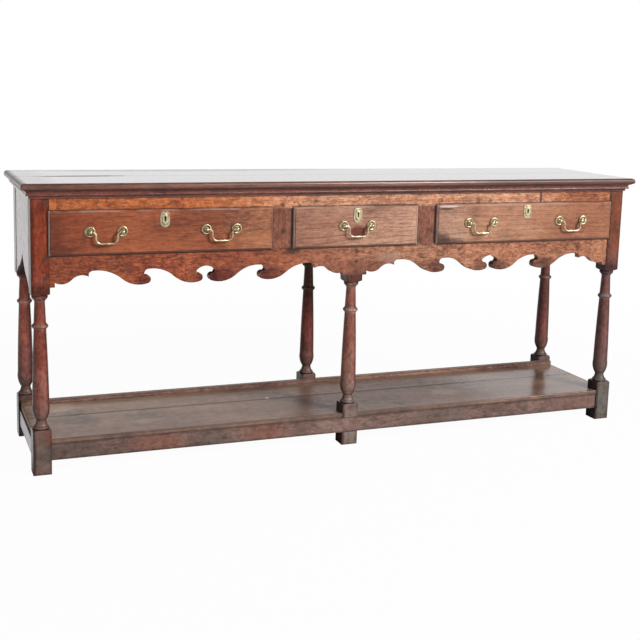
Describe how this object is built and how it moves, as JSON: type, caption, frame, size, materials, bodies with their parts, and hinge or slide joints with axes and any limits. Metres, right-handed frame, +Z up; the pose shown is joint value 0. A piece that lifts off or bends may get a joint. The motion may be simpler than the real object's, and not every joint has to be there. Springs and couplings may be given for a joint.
{
  "type": "potboard dresser",
  "caption": "Long low oak dresser base with lipped drawers, a scroll-cut apron, turned legs and an open potboard near the floor.",
  "frame": {"origin": "on the floor under the middle of the top", "axes": "+X to the right along the front, +Y from the front to the back, +Z up"},
  "size_m": [2.014, 0.452, 0.84],
  "materials": {
    "oak_post": "old waxed polish, satin",
    "oak_rail": "old waxed polish, satin",
    "oak_drawer": "old waxed polish, satin",
    "oak_top": "old waxed polish, worn to a soft gloss",
    "oak_potboard": "worn and scrubbed, satin",
    "oak_lining": "bare wood, matt",
    "oak_peg": "dark end grain, matt",
    "brass": "cast and polished, rubbed",
    "iron": "blackened, matt"
  },
  "bodies": {
    "carcass": {"front_post_left": "oak_post", "front_post_centre": "oak_post", "front_post_right": "oak_post", "back_post_left": "oak_post", "back_post_centre": "oak_post", "back_post_right": "oak_post", "top_plank_front": "oak_top", "top_plank_back": "oak_top", "cornice_front": "oak_top", "cornice_returns": "oak_top", "frieze_rail": "oak_rail", "apron": "oak_rail", "muntin_left": "oak_rail", "muntin_right": "oak_rail", "end_panel_left": "oak_rail", "end_panel_right": "oak_rail", "back_board": "oak_lining", "end_runners": "oak_lining", "muntin_runners": "oak_lining", "potboard_rail_front": "oak_potboard", "potboard_rail_back": "oak_potboard", "potboard_end_rails": "oak_potboard", "potboard_bearer": "oak_potboard", "potboard_plank_front": "oak_potboard", "potboard_plank_back": "oak_potboard", "potboard_lath": "oak_potboard", "pegs": "oak_peg"},
    "drawer_left": {"drawer_left_front": "oak_drawer", "drawer_left_side_left": "oak_lining", "drawer_left_side_right": "oak_lining", "drawer_left_back": "oak_lining", "drawer_left_bottom": "oak_lining", "escutcheon_left": "brass", "lock_case_left": "iron", "handle_fittings_left": "brass"},
    "bolt_left": {"lock_bolt_left": "iron"},
    "drawer_centre": {"drawer_centre_front": "oak_drawer", "drawer_centre_side_left": "oak_lining", "drawer_centre_side_right": "oak_lining", "drawer_centre_back": "oak_lining", "drawer_centre_bottom": "oak_lining", "escutcheon_centre": "brass", "lock_case_centre": "iron", "handle_fittings_centre": "brass"},
    "bolt_centre": {"lock_bolt_centre": "iron"},
    "drawer_right": {"drawer_right_front": "oak_drawer", "drawer_right_side_left": "oak_lining", "drawer_right_side_right": "oak_lining", "drawer_right_back": "oak_lining", "drawer_right_bottom": "oak_lining", "escutcheon_right": "brass", "lock_case_right": "iron", "handle_fittings_right": "brass"},
    "bolt_right": {"lock_bolt_right": "iron"},
    "bail_left_first": {"bail_left_first": "brass"},
    "bail_left_second": {"bail_left_second": "brass"},
    "bail_centre": {"bail_centre": "brass"},
    "bail_right_first": {"bail_right_first": "brass"},
    "bail_right_second": {"bail_right_second": "brass"}
  },
  "joints": [
    {"name": "drawer_left_slide", "type": "slide", "parent": "carcass", "child": "drawer_left", "axis": [0, -1, 0], "range_m": [0, 0.28]},
    {"name": "bolt_left_slide", "type": "slide", "parent": "drawer_left", "child": "bolt_left", "axis": [0, 0, 1], "range_m": [0, 0.008]},
    {"name": "drawer_centre_slide", "type": "slide", "parent": "carcass", "child": "drawer_centre", "axis": [0, -1, 0], "range_m": [0, 0.28]},
    {"name": "bolt_centre_slide", "type": "slide", "parent": "drawer_centre", "child": "bolt_centre", "axis": [0, 0, 1], "range_m": [0, 0.008]},
    {"name": "drawer_right_slide", "type": "slide", "parent": "carcass", "child": "drawer_right", "axis": [0, -1, 0], "range_m": [0, 0.28]},
    {"name": "bolt_right_slide", "type": "slide", "parent": "drawer_right", "child": "bolt_right", "axis": [0, 0, 1], "range_m": [0, 0.008]},
    {"name": "bail_left_first_swing", "type": "hinge", "parent": "drawer_left", "child": "bail_left_first", "pos_m": [-0.772, -0.2203, 0.702], "axis": [-1, 0, 0], "range_deg": [-12, 180]},
    {"name": "bail_left_second_swing", "type": "hinge", "parent": "drawer_left", "child": "bail_left_second", "pos_m": [-0.434, -0.2203, 0.702], "axis": [-1, 0, 0], "range_deg": [-12, 180]},
    {"name": "bail_centre_swing", "type": "hinge", "parent": "drawer_centre", "child": "bail_centre", "pos_m": [0, -0.2203, 0.702], "axis": [-1, 0, 0], "range_deg": [-12, 180]},
    {"name": "bail_right_first_swing", "type": "hinge", "parent": "drawer_right", "child": "bail_right_first", "pos_m": [0.434, -0.2203, 0.702], "axis": [-1, 0, 0], "range_deg": [-12, 180]},
    {"name": "bail_right_second_swing", "type": "hinge", "parent": "drawer_right", "child": "bail_right_second", "pos_m": [0.772, -0.2203, 0.702], "axis": [-1, 0, 0], "range_deg": [-12, 180]}
  ]
}
